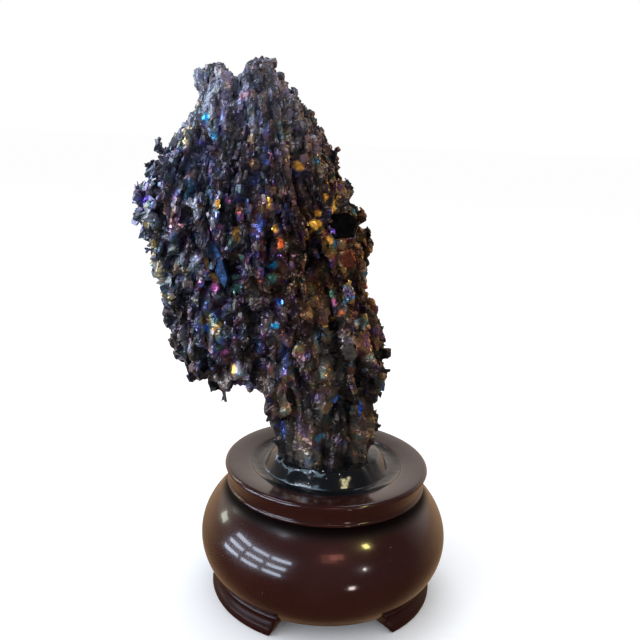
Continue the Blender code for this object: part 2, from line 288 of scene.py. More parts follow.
def turned_faces(turns, rings):
    """Faces of a turned form: points 0 and 1 close its ends on the axis, and its rings follow."""
    last = 2 + (rings - 1) * turns
    faces = []
    for i in range(turns):
        j = (i + 1) % turns
        faces += [(0, 2 + i, 2 + j), (1, last + j, last + i)]
        faces += [(a + j, a + i, a + turns + i, a + turns + j) for a in range(2, last, turns)]
    return faces


def shell_faces(first, corners, rings):
    """Faces of a closed shell: a cap at each end, and walls between rings that start at point first."""
    last = first + (rings - 1) * corners
    faces = [tuple(first + k for k in reversed(range(corners))), tuple(last + k for k in range(corners))]
    for a in range(first, last, corners):
        b = a + corners
        faces += [(a + k, a + (k + 1) % corners, b + (k + 1) % corners, b + k) for k in range(corners)]
    return faces


# ---------------------------------------------------------------- lacquered stand


def belly_curve(sizes, height):
    """Radius of the belly at a height."""
    rise = (height - sizes.belly_height) / sizes.belly_half
    return sizes.belly_centre + (sizes.belly_radius - sizes.belly_centre) * sqrt(max(0.0, 1 - rise * rise))


def stand_section(sizes):
    """The body's half section from the recess floor, over the disc and the belly, to the underside."""
    rounding, lip, floor = sizes.disc_round, sizes.recess_radius, sizes.recess_floor
    outer = sizes.disc_radius - rounding
    section = [(0.0, floor), (lip * 0.5, floor), (lip - 0.3 * MM, floor), (lip, floor + 0.3 * MM),
               (lip, sizes.recess_edge - 0.9 * MM)]
    section += arc((lip + 0.7 * MM, sizes.recess_edge - 0.35 * MM), 0.7 * MM, 180, 100, 6)
    # the disc's face is slightly crowned
    start_r, start_z = section[-1]
    section += [(start_r + (outer - start_r) * t, start_z + (sizes.disc_top - start_z) * sin(t * pi / 2))
                for t in np.linspace(0, 1, 10)[1:-1]]
    section += arc((outer, sizes.disc_top - rounding), rounding, 90, 0, 12)
    # the band draws in downwards, a little hollow, and ends on a bead
    bead_round, hollow = 0.6 * MM, 0.12 * MM
    bead = (sizes.bead_radius, sizes.disc_bottom + bead_round)
    start, end = section[-1], (bead[0] + 0.15 * MM, bead[1] + 0.8 * MM)
    section += [(start[0] + (end[0] - start[0]) * t - hollow * sin(t * pi),
                 start[1] + (end[1] - start[1]) * t) for t in (0.15, 0.3, 0.5, 0.7, 0.85, 1.0)]
    section += arc(bead, bead_round, 70, -90, 12)
    # a fillet leads into the waist
    section += [(sizes.waist_radius + out * MM, sizes.disc_bottom - down * MM)
                for out, down in ((0.9, 0.0), (0.45, 0.05), (0.09, 0.2))]
    width = sizes.belly_radius - sizes.belly_centre
    waist_angle = acos((sizes.waist_radius - sizes.belly_centre) / width)
    apron_angle = asin((sizes.apron_edge - sizes.belly_height) / sizes.belly_half)
    section += [(sizes.belly_centre + width * cos(a), sizes.belly_height + sizes.belly_half * sin(a))
                for a in np.linspace(waist_angle - 0.01, apron_angle, 46)]
    low = belly_curve(sizes, sizes.apron_edge)
    section += [(low - in_by * MM, sizes.apron_edge - down * MM)
                for in_by, down in ((0.15, 0.12), (0.4, 0.27))]
    section += [(low - 0.8 * MM, sizes.apron_height)]
    section += [(sizes.foot_inner * share, sizes.apron_height) for share in (1.0, 0.5, 0.0)]
    return section


def turn_section(section, turns):
    """Points and faces of a section turned round the stand's axis; its two ends lie on the axis."""
    angles = np.linspace(0, FULL_TURN, turns, endpoint=False)
    points = [round_axis(radius, 0.0, height) for radius, height in (section[0], section[-1])]
    points += [round_axis(radius, a, height) for radius, height in section[1:-1] for a in angles]
    return points, turned_faces(turns, len(section) - 2)


def gap_half_angle(height):
    """Half the angle between two feet: rounded off at the floor, running softly into the apron above."""
    return radians(float(np.interp(height / MM, (-1, 0, 0.3, 0.9, 3.4, 4.3, 4.8, 5.6),
                                        (31.9, 31.3, 30.5, 30.1, 29.8, 29.4, 28.4, 26.5))))


def foot_section(sizes):
    """The closed outline of a foot in (radius, height), outer side first: a soft crease under the
    belly, a hollow, and a low upright toe."""
    low, inner = belly_curve(sizes, sizes.crease_height) / MM, sizes.foot_inner / MM
    outline = [(low - 1.2, 5.7), (low - 0.05, 5.5), (low + 0.12, 5.3)]
    outline += [(low + 0.15 - 0.6 * sin(s * pi) + 0.25 * s, 5.1 - 2.5 * s) for s in np.linspace(0, 1, 8)]
    outline += [(30.25, 2.35), (30.42, 1.95), (30.46, 1.4)] + arc((29.86, 0.62), 0.6, 10, -90, 6)
    outline += [(25.5, 0.02), (inner + 0.6, 0.02), (inner + 0.1, 0.35), (inner, 0.9), (inner, 5.7)]
    return [(radius * MM, height * MM) for radius, height in outline]


def foot_shell(sizes, middle, reach, first):
    """One foot as a closed shell between two gaps; its ends are rounded off."""
    section = foot_section(sizes)
    centre = np.mean(section, axis=0)
    rounding = 0.8 * MM
    # for each column: its share of the way to the gap, and how far it is drawn in and held back
    ends = [(rounding * (1 - sin(a)), rounding * (1 - cos(a))) for a in (0, 0.52, 1.05)]
    columns = [(-1, *end) for end in ends] + [(share, 0.0, 0.0) for share in np.linspace(-1, 1, 45)[1:-1]]
    columns += [(1, *end) for end in reversed(ends)]
    points = []
    for share, shrink, back in columns:
        for radius, height in section:
            away = np.array((radius, height)) - centre
            r, z = centre + away * (1 - shrink / np.linalg.norm(away))
            half = reach - gap_half_angle(height)
            points.append(round_axis(r, middle + share * (half - back / r), z))
    return points, shell_faces(first, len(section), len(columns))


def lacquered_wood(sizes):
    """Hardwood under many coats of dark red-brown lacquer, rubbed and polished: a near-black
    red body colour seen through a clear, mirror-smooth film, with faint grain and fine dust."""
    made, add, place = new_material("lacquered_wood")
    centred = add(MAPPING, {0: place, "Location": -AXIS})
    # grain lines about 1.2 mm apart, stretched ten times along the board
    along = add(MAPPING, {0: centred, "Scale": (80, 800, 500)})
    grain = add(NOISE, {"Vector": along, "Scale": 1.0, "Detail": 5.0, "Roughness": 0.6, "Distortion": 0.5})
    # the lacquer lies in soft clouds 15 mm across, swells a little over 6 mm and has orange peel of 0.8 mm
    cloud, swell, peel = (add(NOISE, {"Vector": centred, "Scale": scale, "Detail": detail})
                          for scale, detail in ((65.0, 3.0), (160.0, 1.0), (1200.0, 2.0)))
    share = add(MATH, [grain, 0.45, -0.1], TIMES_PLUS)
    share = add(MATH, [cloud, 0.9, share], {**TIMES_PLUS, "use_clamp": True})
    # dust caught in the last coat: specks about 0.2 mm wide, some 4 mm apart
    speck = add(CELLS, {"Vector": centred, "Scale": 260.0}, out="Distance")
    dust = add(RANGE, [speck, 0.035, 0.022, 0.0, 0.55])
    height = add(MATH, [peel, 0.02, swell], TIMES_PLUS)
    bump = add(BUMP, {"Strength": 0.35, "Distance": 0.00012, "Height": height})
    # the feet were only brushed and stay dull; the corner under the disc gets painted shade: near-black
    # colour, no clear film and little sheen, where shade falls under the disc
    up = add(SPLIT, [place], out=2)
    foot = add(RANGE, [up, 0.0045, 0.007, 1.0, 0.0])
    under = add(RANGE, [up, 0.0270, 0.0292, 0.0, 1.0], SMOOTH)
    below_disc = add(MATH, [up, 0.0306], LESS)
    corner = add(MATH, [under, below_disc], TIMES)
    dull_feet_and_shaded_corner = add(MATH, [foot, corner], LARGER)
    thin = add(RANGE, [foot, 0.0, 1.0, 0.9, 0.3])
    # the clear film's roughness, its share, the wood's own sheen, and a gloss that changes over 10 mm
    dull, film, sheen, rub = (add(RANGE, span) for span in (
        [dull_feet_and_shaded_corner, 0.0, 1.0, 0.075, 0.3], [corner, 0.0, 1.0, thin, 0.0],
        [dull_feet_and_shaded_corner, 0.0, 1.0, 0.5, 0.06], [cloud, 0.3, 0.75, 0.16, 0.30]))
    rough = add(MATH, [dull_feet_and_shaded_corner, 0.25, rub], TIMES_PLUS)
    tone = add(MIX, {0: share, 6: sizes.lacquer_deep, 7: sizes.lacquer}, RGBA, 2)
    # dust specks, then the painted shade that turns the corner under the disc near-black
    for share, over in ((dust, "#9A8C86"), (corner, "#0C0505")):
        tone = add(MIX, {0: share, 6: tone, 7: over}, RGBA, 2)
    add(SURFACE, [add(PRINCIPLED, {
        "Base Color": tone, "Roughness": rough, "IOR": 1.5, "Specular IOR Level": sheen,
        "Coat Weight": film, "Coat Roughness": dull, "Coat IOR": 1.5, "Normal": bump, "Coat Normal": bump})])
    return made


class CRYSTAL_OT_turn_stand(bpy.types.Operator):
    """Turns the lacquered stand, with its recess and its three feet"""

    bl_idname = "crystal_display.turn_stand"
    bl_label = "Turn the stand"

    def execute(self, context):
        sizes = context.scene.stand_sizes
        points, faces = turn_section(stand_section(sizes), 200)
        third = FULL_TURN / 3
        for number in range(3):
            middle = -pi / 2 + sizes.gap_turn + third * (number + 0.5)
            more_points, more_faces = foot_shell(sizes, middle, third / 2, len(points))
            points, faces = points + more_points, faces + more_faces
        stand = mesh_object("turned_stand", points, faces, lacquered_wood(sizes))
        shade(stand, 38)
        hand_over(stand, "stand", "stand_pieces")
        return {"FINISHED"}


# ---------------------------------------------------------------- poured resin


def resin_surface(sizes, radius, angle):
    """Height of the set resin: a flat pool that climbs its edge, and a swollen collar with a wrinkled
    crest round the crystal."""
    lump = (0.5 * sin(2 * angle + 0.6) + 0.35 * sin(5 * angle + 2.0)
            + 0.6 * noise.noise(Vector((cos(angle) * 2.6, sin(angle) * 2.6, 4.0))))
    crest = sizes.collar_crest + lump * 0.35 * MM
    foot = sizes.collar_foot + lump * 0.35 * MM
    top = sizes.collar_top + lump * 0.25 * MM
    # the pool climbs over the last 2.4 mm of its 20.7 mm, and the shoulder over 3 mm
    edge = max(0.0, 1 - (20.7 * MM - radius) / (2.4 * MM))
    pool = sizes.pool_top + (sizes.pool_edge - sizes.pool_top) * edge * edge
    outer = min(1.0, max(0.0, (foot - radius) / (foot - crest)))
    inner = min(1.0, max(0.0, (crest - radius) / (3.0 * MM)))
    # the collar swells all round, but runs down in a plain slope a little left of the front
    slope_turn, slope_depth = 4.40, 0.75
    swollen = sin(outer * pi / 2) ** 1.3
    plain = 0.75 * outer + 0.25 * outer * outer * (3 - 2 * outer)
    slope = slope_depth * max(0.0, cos(angle - slope_turn)) ** 8
    height = pool + (top - pool) * (swollen + (plain - swollen) * slope) + sizes.collar_climb * inner
    # wrinkles 1.9 and 0.8 mm wide lie along the crest, mostly at the front; the rest swells over 5 mm
    place = Vector((radius * cos(angle), radius * sin(angle), 0.0)) / MM
    front = 0.12 + 0.88 * max(0.0, -sin(angle + 0.35)) ** 0.7
    wrinkle = noise.noise(place / 1.9) * 0.30 + noise.noise(place / 0.8 + Vector((9, 2, 5))) * 0.10
    near_crest = exp(-(((radius - crest - 0.6 * MM) / MM) / 1.6) ** 2) * front
    swell = noise.noise(place / 5.0 + Vector((3, 1, 2))) * 0.12 * outer
    return height + (wrinkle * near_crest + swell) * MM


def poured_resin(sizes):
    """Black epoxy poured and left to set: a glassy skin that mirrors the room, black
    underneath, with a few air bubbles and white dust caught in it."""
    made, add, place = new_material("poured_black_resin")
    # dust specks 0.1 to 0.4 mm wide, some 2 mm apart, thickest in patches 12 mm wide, over faint ripples
    # 2.4 mm apart
    speck = add(CELLS, {"Vector": place, "Scale": 520.0}, out="Distance")
    patch, ripple = (add(NOISE, {"Vector": place, "Scale": scale, "Detail": detail})
                     for scale, detail in ((85.0, 1.0), (420.0, 3.0)))
    size = add(RANGE, [patch, 0.45, 0.75, 0.0, 0.13])
    dust = add(MATH, [speck, size], LESS)
    tone = add(MIX, {0: dust, 6: sizes.resin, 7: "#A9ABAA"}, RGBA, 2)
    rough = add(RANGE, [patch, 0.3, 0.8, 0.07, 0.18])
    bump = add(BUMP, {"Strength": 0.3, "Distance": 0.0003, "Height": ripple})
    add(SURFACE, [add(PRINCIPLED, {
        "Base Color": tone, "Roughness": rough, "IOR": 1.55, "Coat Weight": 0.6, "Coat Roughness": 0.13,
        "Coat IOR": 1.55, "Normal": bump, "Coat Normal": bump})])
    return made


class CRYSTAL_OT_pour_resin(bpy.types.Operator):
    """Pours the black resin into the recess, with its collar round the crystal"""

    bl_idname = "crystal_display.pour_resin"
    bl_label = "Pour the resin"

    def execute(self, context):
        sizes = context.scene.resin_sizes
        low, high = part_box("resin")
        edge = (high.x - low.x) / 2 + sizes.pool_overlap
        turns, rings = 180, 64
        angles = np.linspace(0, FULL_TURN, turns, endpoint=False)
        points = [round_axis(0.0, 0.0, resin_surface(sizes, 0.0, 0.0)), round_axis(0.0, 0.0, low.z)]
        points += [round_axis(radius, a, resin_surface(sizes, radius, a))
                   for radius in edge * np.sqrt(np.linspace(0.02, 1, rings)) for a in angles]
        points += [round_axis(edge, a, low.z) for a in angles]
        resin = mesh_object("poured_resin", points, turned_faces(turns, rings + 1), poured_resin(sizes))
        shade(resin, 50)
        hand_over(resin, "resin", "resin_pieces")
        return {"FINISHED"}


# ---------------------------------------------------------------- silicon carbide crystals


def growth(place):
    """The way the crystals grow at a place: the strands fan out downwards from a point over the top."""
    x, y, z = (place - AXIS) / MM
    return Vector((FAN[0] - x, (FAN[1] - y) * 0.8, max(30.0, FAN[2] - z))).normalized()


def strand_place(place):
    """A place in millimetres across, through and along the strands, as if they ran side by side."""
    x, y, z = (place - AXIS) / MM
    spread = (72.0 / max(35.0, FAN[2] - z)) ** 0.8
    # the strands grow longer and plainer towards the foot
    along = z if z > 80.0 else 80.0 - 40.0 * log(1 + (80.0 - z) / 40.0)
    return Vector(((x - FAN[0]) * spread, (y - FAN[1]) * spread, along))


def strand_crest(strand, sizes):
    """1 on a strand of crystals, falling to 0 in the groove beside it."""
    width, along = sizes.strand_width / MM, sizes.strand_length / MM
    broad = noise.noise(Vector((strand.x / width, strand.y / width, strand.z / along)))
    fine = noise.noise(Vector((strand.x * 1.9 / width + 7, strand.y * 1.9 / width, strand.z * 2.6 / along)))
    return min(1.0, abs(broad) * 2.6) * (0.55 + 0.45 * min(1.0, abs(fine) * 3.0))


def grain_tilt(strand, cell):
    """Height of a tilted flat facet, as a share of the cell, and the cell's own two random numbers."""
    squeezed = Vector((strand.x, strand.y, strand.z * 0.8)) / (cell / MM)
    centre = noise.voronoi(squeezed)[1][0]
    slope = noise.cell_vector(centre * 37.7) * 2 - Vector((1, 1, 1))
    chance = noise.cell_vector(centre * 19.3 + Vector((5, 5, 5)))
    return (squeezed - centre).dot(slope) * 0.8 + (chance.x - 0.5) * 0.9, chance.y, chance.z


def even_mesh(source, voxel):
    """A copy of a node's form in one even mesh, as the object crystal_core."""
    mesh = source.data.copy()
    core = add_object("crystal_core", mesh)
    work = bmesh.new()
    work.from_mesh(mesh)
    bmesh.ops.remove_doubles(work, verts=work.verts, dist=0.02 * MM)
    work.to_mesh(mesh)
    work.free()
    remesh = core.modifiers.new("even mesh", "REMESH")
    remesh.mode, remesh.voxel_size = "VOXEL", voxel
    dense = finished_mesh(core)
    core.modifiers.clear()
    core.data = dense
    return core


def strand_core(sizes):
    """The mass of the cluster: the solid's own form with grooved strands and flat grains cut into it."""
    # heights of the resin's top, the neck's end and the heads; the notch is 26 mm left of the stand's axis
    resin_top, neck_end, heads_start, heads_end = 0.039, 0.054, 0.110, 0.135
    notch_place, notch_width, notch_start, notch_depth = -26.0, 1.5, 0.129, 0.007
    core = even_mesh(frame["nodes"]["silicon_carbide_crystal"], sizes.core_mesh)
    dense = core.data
    place, normal = read_points(dense), read_points(dense, "normal")
    up = place[:, 2]
    strands = [strand_place(Vector(p)) for p in place]
    crest = np.array([strand_crest(strand, sizes) for strand in strands])
    grains, crumbs = (np.array([grain_tilt(strand, cell) for strand in strands])
                      for cell in (sizes.grain_cell, sizes.crumb_cell))
    # the round heads at the top are hardly grooved
    calm = np.interp(up, (heads_start, heads_end), (0.0, 1.0))
    crest = crest + (1 - crest) * 0.7 * calm
    # a notch parts the two heads
    notch = np.exp(-(((place[:, 0] - AXIS.x) / MM - notch_place) / notch_width) ** 2)
    notch *= np.clip((up - notch_start) / 0.005, 0, 1)
    sunk = (sizes.groove_depth * (1 - crest) - sizes.strand_swell * (1 - calm) - 0.8 * MM * calm * calm
            + notch_depth * notch - grains[:, 0] * sizes.grain_relief * (1 - 0.35 * calm)
            - crumbs[:, 0] * sizes.crumb_relief)
    # the neck is thick and hardly grooved where the resin holds it
    held = np.interp(up, (resin_top, neck_end), (1.0, 0.0))
    sunk = sunk * (1 - 0.5 * held) - 0.5 * MM * held
    base = up < resin_top
    sunk[base] = np.clip(sunk[base], -0.4 * MM, 0.8 * MM)
    moved = place - normal * sunk[:, None]
    dense.vertices.foreach_set("co", moved.ravel())
    # small crystals grow up the strands, and hang down where the mass overhangs
    ways = np.array([growth(Vector(p)) for p in place])
    ways = ways * np.where(normal[:, 2] < -0.45, -1.0, 1.0)[:, None] + normal * 0.06
    ways /= np.linalg.norm(ways, axis=1)[:, None]
    # they cover the crests, but not the heads, the underside or the part that the resin hides
    cover = np.clip((crest - 0.28) * 3.0, 0.0, 1.0) * (moved[:, 2] > 38.4 * MM) * (1 - 0.7 * calm)
    cover *= np.interp(normal[:, 2], (-0.35, 0.05), (0.0, 1.0)) * (1 - 0.8 * held)
    # bright chips come in nests about 6 mm wide, most of them on the upper body
    nests = np.array([noise.noise(Vector(p) / (6.0 * MM)) for p in place])
    high = np.interp(up, (0.05, 0.08, 0.12, 0.13), (0.25, 1.0, 1.0, 0.3))
    sparkle = cover * np.clip(nests * 4.0, 0.0, 1.0) * high
    layers = {"growth_way": ways, "strand": np.array(strands), "cover": cover, "sparkle": sparkle,
              "crest": crest, "film": grains[:, 1], "lustre": grains[:, 2], "facet": crumbs[:, 1]}
    for name, values in layers.items():
        store_layer(dense, name, values)
    return core


def crystal_shapes():
    """The few crystal forms that the scatter picks from, 1 wide, 1 deep and 1 long: prisms with a slanted,
    narrowed tip."""
    hexagon = [(0.45 * cos(a), 0.5 * sin(a)) for a in np.linspace(0, FULL_TURN, 6, endpoint=False)]
    slab = [(0.34, -0.5), (0.42, 0.44), (-0.3, 0.5), (-0.42, -0.4)]
    wedge = [(0.5, -0.1), (0.16, 0.48), (-0.4, 0.34), (-0.46, -0.3), (0.2, -0.46)]
    group = bpy.data.collections.new("crystal_forms")
    # corners, the tip's share of the width and its shift, and the height at which the tip starts
    for name, corners, tip, shift_x, shift_y, start in (
            ("form_blade", hexagon, 0.68, 0.08, 0.04, 0.78), ("form_slab", slab, 0.8, -0.05, 0.06, 0.86),
            ("form_wedge", wedge, 0.6, -0.04, -0.08, 0.74)):
        points = [(x * 0.7, y * 0.7, 0.0) for x, y in corners] + [(x, y, 0.22 - 0.1 * y) for x, y in corners]
        points += [(x, y, start + 0.12 * x) for x, y in corners]
        points += [(x * tip + shift_x, y * tip + shift_y, 1.0 - 0.1 * y) for x, y in corners]
        made = mesh_object(name, points, shell_faces(0, len(corners), 4))
        bpy.context.scene.collection.objects.unlink(made)
        group.objects.link(made)
    return group


def scatter_tree():
    """Geometry Nodes that grow small crystals all over a surface, along its growth_way."""
    tree = bpy.data.node_groups.new("grow_crystals", "GeometryNodeTree")
    add = partial(add_node, tree)
    for side in ("INPUT", "OUTPUT"):
        tree.interface.new_socket("Geometry", in_out=side, socket_type="NodeSocketGeometry")
    for kind, names in (
            ("Float", ("Spacing", "Width", "Length", "Thickness share", "Sink", "Bury", "Sway", "Flat turn")),
            ("Int", ("Seed",)), ("String", ("Where",)), ("Material", ("Material",)),
            ("Collection", ("Forms",))):
        for name in names:
            tree.interface.new_socket(name, in_out="INPUT", socket_type="NodeSocket" + kind)
    given = add("NodeGroupInput").node.outputs
    seeds = [add(MATH, [given["Seed"], float(number)]) for number in range(1, 8)]
    cover = add(NAMED, {"Name": given["Where"]})
    way = add(NAMED, {"Name": "growth_way"}, VECTORS)
    points = add("GeometryNodeDistributePointsOnFaces",
                 {"Mesh": given["Geometry"], "Distance Min": given["Spacing"], "Density Max": 4.0e6,
                  "Density Factor": cover, "Seed": given["Seed"]}, {"distribute_method": "POISSON"})
    normal = points.node.outputs["Normal"]
    # each crystal sways from its way and turns its flat side off the surface a little
    sways = [add(RANDOM, {0: (-1, -1, -1), 1: (1, 1, 1), "Seed": seed}, VECTORS) for seed in seeds[:2]]
    swayed = add(VECTOR, [sways[0], given["Sway"], way], TIMES_PLUS)
    faced = add(VECTOR, [sways[1], given["Flat turn"], normal], TIMES_PLUS)
    upright = add("FunctionNodeAlignRotationToVector", {"Vector": swayed}, {"axis": "Z"})
    turned = add("FunctionNodeAlignRotationToVector", {"Rotation": upright, "Vector": faced},
                 {"axis": "X", "pivot_axis": "Z"})
    spans = ((0.62, 1.45), (0.6, 1.5), (0.7, 1.3), (0.0, 1.0), (0.0, 1.0))
    wider, longer, thicker, film, lustre = (
        add(RANDOM, {2: low, 3: high, "Seed": seed}, out=1) for (low, high), seed in zip(spans, seeds[2:]))
    wide = add(MATH, [wider, given["Width"]], TIMES)
    long = add(MATH, [longer, given["Length"]], TIMES)
    thick = wide
    for share in (given["Thickness share"], thicker):
        thick = add(MATH, [thick, share], TIMES)
    scale = add("ShaderNodeCombineXYZ", [thick, wide, long])
    # it goes back along its way and down into the surface
    back, down = (add(VECTOR, {0: line, "Scale": add(MATH, [size, given[most]], TIMES)}, SCALE)
                  for line, size, most in ((way, long, "Sink"), (normal, thick, "Bury")))
    drop = add(VECTOR, {0: add(VECTOR, [back, down], PLUS), "Scale": -1.0}, SCALE)
    placed = add("GeometryNodeSetPosition", {"Geometry": points, "Offset": drop})
    forms = add("GeometryNodeCollectionInfo",
                {"Collection": given["Forms"], "Separate Children": True, "Reset Children": True})
    grown = add("GeometryNodeInstanceOnPoints", {
        "Points": placed, "Instance": forms, "Pick Instance": True, "Rotation": turned, "Scale": scale})
    for name, chance in (("film", film), ("lustre", lustre)):
        grown = add(STORE, {"Geometry": grown, "Name": name, "Value": chance}, {"domain": "INSTANCE"})
    whole = add("GeometryNodeRealizeInstances", [grown])
    facet = add(RANDOM, {"Seed": 91}, out=1)
    whole = add(STORE, {"Geometry": whole, "Name": "facet", "Value": facet}, {"domain": "FACE"})
    flat = add("GeometryNodeSetShadeSmooth", {"Geometry": whole, "Shade Smooth": False})
    done = add("GeometryNodeSetMaterial", {"Geometry": flat, "Material": given["Material"]})
    add("NodeGroupOutput", [done])
    return tree


def grow(name, core, tree, settings):
    """Runs the scatter over the core and keeps what it makes as a plain mesh."""
    carrier = core.copy()
    carrier.data = core.data.copy()
    bpy.context.scene.collection.objects.link(carrier)
    modifier = carrier.modifiers.new("grow", "NODES")
    modifier.node_group = tree
    given = {item.name: item.identifier for item in tree.interface.items_tree if item.in_out == "INPUT"}
    for key, value in settings.items():
        modifier[given[key]] = value
    mesh = finished_mesh(carrier)
    mesh.name = name
    bpy.data.objects.remove(carrier)
    return add_object(name, mesh)


# the colours of even oxide films, from thin to thick, and of bare crystal
FILMS = {"gold": "#D9A441", "straw": "#C2B082", "orange": "#E07030", "copper": "#8A4A38", "pink": "#D070B8",
         "violet": "#6A50D0", "blue": "#3468C8", "cyan": "#2CA4DA", "teal": "#50B0A0", "pale": "#B4BECC",
         "steel": "#243C5E", "tan": "#8A6C48", "grey": "#6C665E", "black": "#0A0A0D"}
# crystals under each kind of clean film, brightened as painted glints: place in the camera's frame (right,
# down), width, length (mm), lean (degrees) and strength, which also sets how much brighter a crystal is
# painted
CLEAN_FILMS_AND_GLINTS = {
    "pale": ((253, 119, 2, 3.8, 10, 0.6), (258, 131, 2.4, 1.8, 30, 0.5), (257, 148, 1.4, 1.2, 40, 1.6),
        (221, 171, 2.2, 4, 15, 0.7), (194, 208, 3.2, 4.4, -20, 0.8), (195, 266, 2.5, 5, 0, 0.9),
        (244, 300, 1.8, 1.5, 20, 1.4), (357, 323, 1.4, 1.4, 0, 1.6), (348, 342, 3, 5, -20, 0.4)),
    "cyan": ((206, 117, 1.5, 2.6, 0, 1.2), (213, 136, 2, 1.5, 30, 1.1), (191, 186, 2.4, 5, -10, 0.6),
        (274, 265, 2.1, 1.6, 0, 1.3), (275, 326, 2.3, 1.2, 20, 1.3), (319, 438, 2.2, 1.8, 0, 0.9)),
    "violet": ((203, 143, 1.8, 1.6, 0, 1), (145, 199, 2, 4.6, 0, 0.9), (335, 231, 2.4, 2.8, -10, 0.9)),
    "straw": ((187, 129, 2.6, 2.6, 0, 0.8), (184, 141, 2.8, 2.4, 0, 0.9), (250, 139, 2, 2.6, -20, 0.9),
        (223, 295, 1.6, 1.4, 0, 0.6), (153, 246, 2, 3, 0, 1.3), (147, 224, 1.6, 2.4, 0, 1.1),
        (160, 268, 1.8, 5, 0, 1), (171, 297, 2.2, 3.6, -10, 0.9)),
    "blue": ((265, 161, 1.9, 2.3, 0, 1), (260, 224, 2.4, 5, 5, 0.7), (279, 303, 2.4, 2.6, 0, 1.1),
        (285, 355, 2.3, 10, 0, 0.6), (206, 327, 1.8, 2.1, 0, 0.9), (283, 429, 2, 5.6, 0, 0.7),
        (360, 407, 1.1, 4.6, 18, 1.6), (336, 399, 1.4, 2.2, 40, 1.1)),
    "gold": ((299, 166, 2.2, 2.8, -20, 1.9), (217, 203, 1.8, 2.2, 0, 1.1), (236, 233, 2.1, 3.2, 0, 0.9),
        (274, 229, 2.3, 3, 10, 1.1), (314, 225, 3, 2.3, -20, 1.9), (326, 193, 1.2, 4.6, 35, 2.1),
        (334, 206, 1.1, 4.2, 38, 2.3), (215, 277, 1.8, 2.2, 0, 1.2), (333, 319, 1.4, 1.4, 0, 1.2),
        (233, 370, 1.8, 3, 0, 0.8), (216, 329, 2.3, 2.8, 0, 0.7), (160, 285, 1.6, 3, 0, 1),
        (318, 213, 1.5, 1.8, 0, 1.8), (305, 236, 2, 2.2, 0, 1.1), (340, 238, 1.3, 2.8, 20, 1.4),
        (330, 240, 1.2, 2.2, -10, 1.4), (270, 205, 1.8, 2.6, 0, 1)),
    "tan": ((253, 164, 2.4, 3, 0, 0.9), (308, 312, 2.2, 7.6, 48, 0.7), (326, 409, 1.8, 3.4, 0, 0.7)),
    "pink": ((227, 199, 1.6, 2.6, -10, 0.8), (220, 227, 1.5, 1.5, 0, 0.9), (214, 286, 2, 2, 0, 1.5),
        (334, 303, 1.4, 2.1, 0, 1.1), (225, 352, 1.7, 1.7, 0, 1)),
    "orange": ((281, 244, 2.1, 2.4, 0, 1.5), (341, 312, 1.5, 1.6, 0, 0.9), (349, 257, 3.6, 4.6, -15, 0.3),
        (271, 368, 1.4, 2.4, 0, 0.6)),
    "teal": ((236, 277, 1.6, 1.9, 0, 0.9), (237, 288, 2.5, 2.5, 0, 0.8), (272, 279, 2.3, 2.7, 0, 0.8),
        (332, 293, 2, 2.5, 0, 0.8), (240, 257, 1.6, 1.8, 0, 0.8)),
    "copper": ((351, 370, 2, 2.2, 0, 0.9), (178, 223, 3.8, 4.2, 0, 0.5), (247, 94, 4.2, 2.2, 0, 0.5),
        (231, 88, 2, 2.4, 0, 0.4), (282, 192, 1.8, 2.2, 0, 0.9)),
    "black": ((268, 113, 5, 7.5, 8, 0.85), (246, 79, 6.5, 3.6, 0, 0.8), (246, 192, 4, 7, 0, 0.8),
        (216, 167, 5, 6, 0, 0.8), (231, 318, 6, 10, 0, 0.85), (254, 290, 4.5, 9, 0, 0.8),
        (243, 348, 5, 7, 0, 0.8), (322, 285, 4, 8, 0, 0.8)),
    "steel": ((211, 249, 3, 6, -22, 1),),
}
# broad blades with one flat face: film, place in the camera's frame, width, length (mm), lean (degrees), and
# how far the face turns from the surface under it towards the window
BLADES = (
    ("steel", 218, 264, 3, 12, -22, 0.2), ("tan", 206, 258, 1, 7, -24, 0.2),
    ("black", 342, 225, 8.2, 6.6, 34, 0), ("copper", 348, 259, 3.6, 4.6, -12, 0.2),
    ("grey", 349, 352, 3.4, 5.5, -14, 0.1),
)


def sight_to(right, down):
    """The line of sight from the camera to a place in its frame."""
    scale = SENSOR / LENS / FRAME
    sight = Vector(((right - FRAME / 2) * scale, (FRAME / 2 - down) * scale, -1.0))
    return CAMERA_TURN.to_3x3() @ sight.normalized()


def leaning_growth(place, lean):
    """The way the crystals grow at a place, leaned over by some degrees."""
    return Matrix.Rotation(radians(lean), 3, "Y") @ growth(place)


def ground_of(core):
    """The mass's surface, to be met by lines of sight."""
    faces = [tuple(face.vertices) for face in core.data.polygons]
    return BVHTree.FromPolygons([tuple(point.co) for point in core.data.vertices], faces)


def paint_clean_films_and_glints(core, ground):
    """Marks the places of the mass that lie under a clean film, with soft, ragged edges; their strength later
    brightens them as painted glints.
    """
    spots = read_points(core.data)
    strength, tones = np.zeros(len(spots)), np.zeros((len(spots), 4))
    ragged = np.array([noise.noise(Vector(p) / (0.9 * MM)) for p in spots])
    crystals = [(film, *crystal) for film, group in CLEAN_FILMS_AND_GLINTS.items() for crystal in group]
    for film, right, down, width, long, lean, power in crystals:
        hit = ground.ray_cast(CAMERA_PLACE, sight_to(right, down))[0]
        if hit is None:
            continue
        up = leaning_growth(hit, lean)
        side = up.cross(Vector((0, -1, 0))).normalized()
        away = (spots - np.array(hit)) / MM
        across, along = away @ np.array(side) / (width / 2), away @ np.array(up) / (long / 2)
        near = np.linalg.norm(away, axis=1) < max(width, long)
        fill = np.clip((1.15 - np.hypot(across, along) + ragged * 0.7) * 2.2, 0, 1) * near * power
        stronger = fill > strength
        strength[stronger] = fill[stronger]
        tones[stronger] = linear(FILMS[film])
    store_layer(core.data, "clean_film", strength)
    store_layer(core.data, "film_colour", tones)


